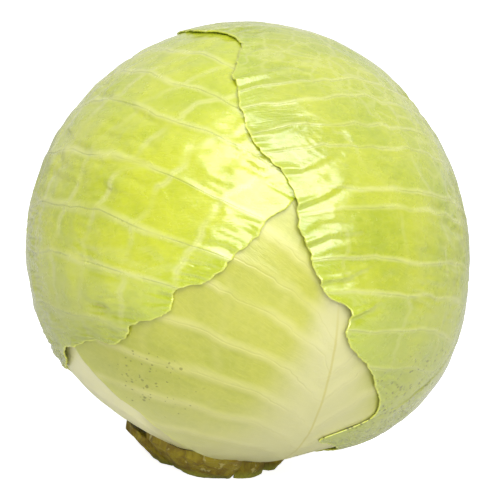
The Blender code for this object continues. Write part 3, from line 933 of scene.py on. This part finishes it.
def buildStem():
    # the cut stem and the core above it: a turned profile with shallow ridges, flat where it was cut
    corners = np.array(stem["profile"])
    profile = []
    for upper, lower in zip(corners, corners[1:]):
        for step in range(stem["rings"]):
            profile.append(upper + (lower - upper) * step / stem["rings"])
    profile.append(corners[-1])
    bm = bmesh.new()
    rows = []
    for radius, height in profile[1:-1]:
        row = []
        for side in range(stem["sides"]):
            turn = 2 * math.pi * side / stem["sides"]
            wave = math.sin(5 * turn + stem["twist"] * height)
            rise = stem["cutRidgeShare"] * wave
            if height > 0:
                wave += 0.6 * math.sin(11 * turn + 1.3) + 0.4 * math.sin(23 * turn)
                rise = stem["ridgeShare"] * wave
            grown = radius * (1 + rise)
            row.append(bm.verts.new((grown * math.cos(turn), grown * math.sin(turn), height)))
        rows.append(row)
    for upper, lower in zip(rows, rows[1:]):
        for side in range(stem["sides"]):
            after = (side + 1) % stem["sides"]
            bm.faces.new((upper[side], lower[side], lower[after], upper[after]))
    for row, height in ((rows[0], profile[0][1]), (rows[-1], 0.0)):
        tip = bm.verts.new((0, 0, height))
        for side in range(stem["sides"]):
            after = (side + 1) % stem["sides"]
            bm.faces.new((tip, row[side], row[after]))
    bmesh.ops.recalc_face_normals(bm, faces=bm.faces[:])
    mesh = meshFrom("cutStem", bm)
    mesh.shade_smooth()
    mesh.set_sharp_from_angle(angle=math.radians(40))
    mesh.materials.append(newCutSkin("stemSkin", stemLook))
    piece = placeMesh("cutStem", mesh)
    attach(piece, "root")
    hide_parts("stem_and_core")


buildStem()

stubs = {
    # name, CAD node, level of the leaf above, half width in degrees, how far out it reaches
    "places": (
        ("tornStubRight", "torn_petiole_right", 0, 36, 0.028),
        ("tornStubLeft", "torn_petiole_left", 1, 42, 0.038),
        ("tornStubFrontRight", "torn_petiole_front_right", 2, 26, 0.0212),
        ("tornStubBack", "torn_petiole_back", 3, 38, 0.030),
        ("tornStubFront", "torn_petiole_front", 4, 46, 0.0365),
    ),
    "start": 0.0186, "thickIn": 0.0125, "thickOut": 0.0030, "rounding": 0.12, "narrowing": 0.15,
    "pinch": 0.25, "pinchReach": 0.22,  # thinner along both sides
    "tears": ((5, 1, 0.06), (17, 2, 0.03), (39, 1, 0.02)),  # waves, turns of their start, depth
    "cells": (72, 40), "roughness": 0.0007, "waveSizes": (0.011, 0.007, 0.0045, 0.003), "gap": 0.0003,
}


def wavy(points, seed):
    # a smooth sum of waves that runs in every direction, about -1 to 1
    draw = np.random.default_rng(seed)
    total = np.zeros(len(points))
    sizes = stubs["waveSizes"]
    for size in sizes:
        for _ in range(3):
            way = draw.normal(size=3)
            way = way / np.linalg.norm(way) * 2 * np.pi / size
            total += size / sizes[0] * np.sin(points @ way + draw.uniform(0, 2 * np.pi))
    return total / len(sizes)


def underside(azimuth, reach, level):
    # height of the underside of a leaf at points that are this far out from the stem's axis
    radius = np.full_like(reach, head["halfSizes"][2])
    for _ in range(6):
        n = direction(azimuth, np.degrees(np.arcsin(reach / radius)))
        radius = headRadius(n) - stack["pitch"] * level
        for _, _, _, ribAzimuth, baseAzimuth in leafPlaces[level:]:
            radius = radius + ribHeight(n, ribAzimuth, baseAzimuth)
    return head["middle"][2] - np.sqrt(radius**2 - reach**2)


def buildStub(name, node, level, halfWidth, reach, material):
    # a slab of cells, its upper side under the leaf above it and its lower side cut level with the stem
    baseAzimuth = leafPlaces[level][4]
    bm = bmesh.new()
    bmesh.ops.create_grid(bm, x_segments=stubs["cells"][0], y_segments=stubs["cells"][1], size=1.0)
    lower = bmesh.ops.extrude_face_region(bm, geom=bm.faces[:])
    for item in lower["geom"]:
        if isinstance(item, bmesh.types.BMVert):
            item.co.z = -1
    bmesh.ops.recalc_face_normals(bm, faces=bm.faces[:])
    spots = np.array([vert.co for vert in bm.verts])
    side, out = -spots[:, 0], (spots[:, 1] + 1) / 2
    torn = 1 - stubs["rounding"] * side**2
    for waves, turns, depth in stubs["tears"]:
        torn = torn - depth * np.sin(waves * side + turns * baseAzimuth)
    distance = stubs["start"] + (reach - stubs["start"]) * out * torn
    azimuth = baseAzimuth + halfWidth * side * (1 - stubs["narrowing"] * out**2)
    top = underside(azimuth, distance, level) - stubs["gap"]
    thick = stubs["thickIn"] + (stubs["thickOut"] - stubs["thickIn"]) * out
    fromSide = np.clip((1 - np.abs(side)) / stubs["pinchReach"], 0, 1)
    thick = thick * (1 - stubs["pinch"] + stubs["pinch"] * np.sin(fromSide * np.pi / 2))
    isLower = spots[:, 2] < -0.5
    height = np.where(isLower, top - thick, top)
    around = np.radians(azimuth)
    points = np.stack([distance * np.sin(around), -distance * np.cos(around), height], axis=-1)
    inside = np.clip((1 - np.abs(spots[:, 0])) / 0.1, 0, 1) * np.clip(out / 0.1, 0, 1)
    points[:, 2] += np.where(isLower, wavy(points, level + 20) * stubs["roughness"] * inside, 0)
    points[:, 2] = np.maximum(points[:, 2], 0)
    for vert, point in zip(bm.verts, points):
        vert.co = point
    mesh = meshFrom(name, bm)
    mesh.shade_smooth()
    mesh.set_sharp_from_angle(angle=math.radians(60))
    mesh.materials.append(material)
    piece = placeMesh(name, mesh)
    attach(piece, "root")
    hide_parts(node)


stubSkin = newCutSkin("stubSkin", stubLook)
for name, node, level, halfWidth, reach in stubs["places"]:
    buildStub(name, node, level, halfWidth, reach, stubSkin)
print("stem and stubs built")


# leaves and bud inside the head keep their shape
def newInnerSkin(name, colour, deep):
    material, tree, shader = newMaterial(name)
    spot = put(tree, "ShaderNodeTexCoord", output="Object") * toMillimetres
    mottle = noise(spot, 0.05, 3.0, 0.6)
    net = cellGap(spot, 0.09, "DISTANCE_TO_EDGE")
    colour = blend(fade(mottle, 0.35, 0.65), colour, deep)
    vein = 1.0 - fade(net, 0.0, 0.08)
    setSockets(shader, {
        "Base Color": blend(vein * 0.5, colour, tone(236, 234, 196)), "Roughness": mottle * 0.2 + 0.35,
        "Normal": bump(tree, vein, 0.4, 0.001),
    })
    return material


innerSkin = newInnerSkin("innerSkin", tone(224, 222, 150), tone(214, 214, 128))
heartSkin = newInnerSkin("heartSkin", tone(228, 214, 112), tone(216, 200, 88))
for name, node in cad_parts.items():
    if name.startswith("inner_leaf") or name == "heart_bud":
        node.data.materials.clear()
        node.data.materials.append(heartSkin if name == "heart_bud" else innerSkin)
print("inner leaves painted")

# floor, light and camera
studio = {
    "floorSize": 6.0, "floorTone": 0.75, "floorGlow": 0.85, "frontGlow": 0.24, "backGlow": 0.80,
    "glowTilt": (0.8, 0.6), "glowSpan": (-0.25, 0.8),
    "boxDistance": 1.0, "boxSize": (1.02, 1.02), "boxToward": (11, 131), "boxRoll": 13.0, "boxPower": 13.0,
    "distance": 0.80, "elevation": 12.0, "lean": 8.0, "lens": 142.7, "shift": (-0.0052, 0.002),
}


def buildFloor():
    mesh = bpy.data.meshes.new("studioFloor")
    half = studio["floorSize"] / 2
    corners = [(-half, -half, 0), (half, -half, 0), (half, half, 0), (-half, half, 0)]
    mesh.from_pydata(corners, [], [(0, 1, 2, 3)])
    material, tree, shader = newMaterial("floorWhite")
    seen = put(tree, "ShaderNodeLightPath", output="Is Camera Ray")
    setSockets(shader, {
        "Base Color": (studio["floorTone"],) * 3, "Roughness": 0.9, "Specular IOR Level": 0.0,
        "Emission Color": (1, 1, 1), "Emission Strength": seen * studio["floorGlow"],
    })
    mesh.materials.append(material)
    floor = placeMesh("studioFloor", mesh)


def lookAt(obj, place, target, roll):
    back = (place - target).normalized()
    right = Vector((0, 0, 1)).cross(back).normalized()
    up = back.cross(right)
    turn = math.radians(roll)
    along = right * math.cos(turn) + up * math.sin(turn)
    above = up * math.cos(turn) - right * math.sin(turn)
    obj.matrix_world = Matrix.Translation(place) @ Matrix((along, above, back)).transposed().to_4x4()


def buildLight():
    data = bpy.data.lights.new("softbox", "AREA")
    data.shape = "RECTANGLE"
    data.size, data.size_y = studio["boxSize"]
    data.energy = studio["boxPower"]
    lamp = bpy.data.objects.new("softbox", data)
    scene.collection.objects.link(lamp)
    target = Vector(head["middle"])
    toward = Vector(direction(*studio["boxToward"]))
    lookAt(lamp, target + toward * studio["boxDistance"], target, studio["boxRoll"])
    world = bpy.data.worlds.new("studioWorld")
    scene.world = world
    world.use_nodes = True
    sky = world.node_tree.nodes["Background"]
    sky.inputs["Color"].default_value = (1, 1, 1, 1)
    # dim in front and bright behind and above, as between white walls
    _, behind, above = unpack(put(world.node_tree, "ShaderNodeTexCoord", output="Object"))
    back, up = studio["glowTilt"]
    share = fade(behind * back + above * up, *studio["glowSpan"])
    glow = blend(share, studio["frontGlow"], studio["backGlow"])
    seen = put(world.node_tree, "ShaderNodeLightPath", output="Is Camera Ray")
    feed(sky.inputs["Strength"], blend(seen, glow, 1.0))


def buildCamera():
    data = bpy.data.cameras.new("camera")
    data.lens = studio["lens"]
    data.shift_x, data.shift_y = studio["shift"]
    camera = bpy.data.objects.new("camera", data)
    scene.collection.objects.link(camera)
    target = Vector(head["middle"])
    toward = Vector(direction(0, 90 + studio["elevation"]))
    lookAt(camera, target + toward * studio["distance"], target, studio["lean"])
    scene.camera = camera


buildFloor()
buildLight()
buildCamera()
scene.view_settings.view_transform = "Standard"
print("studio ready")
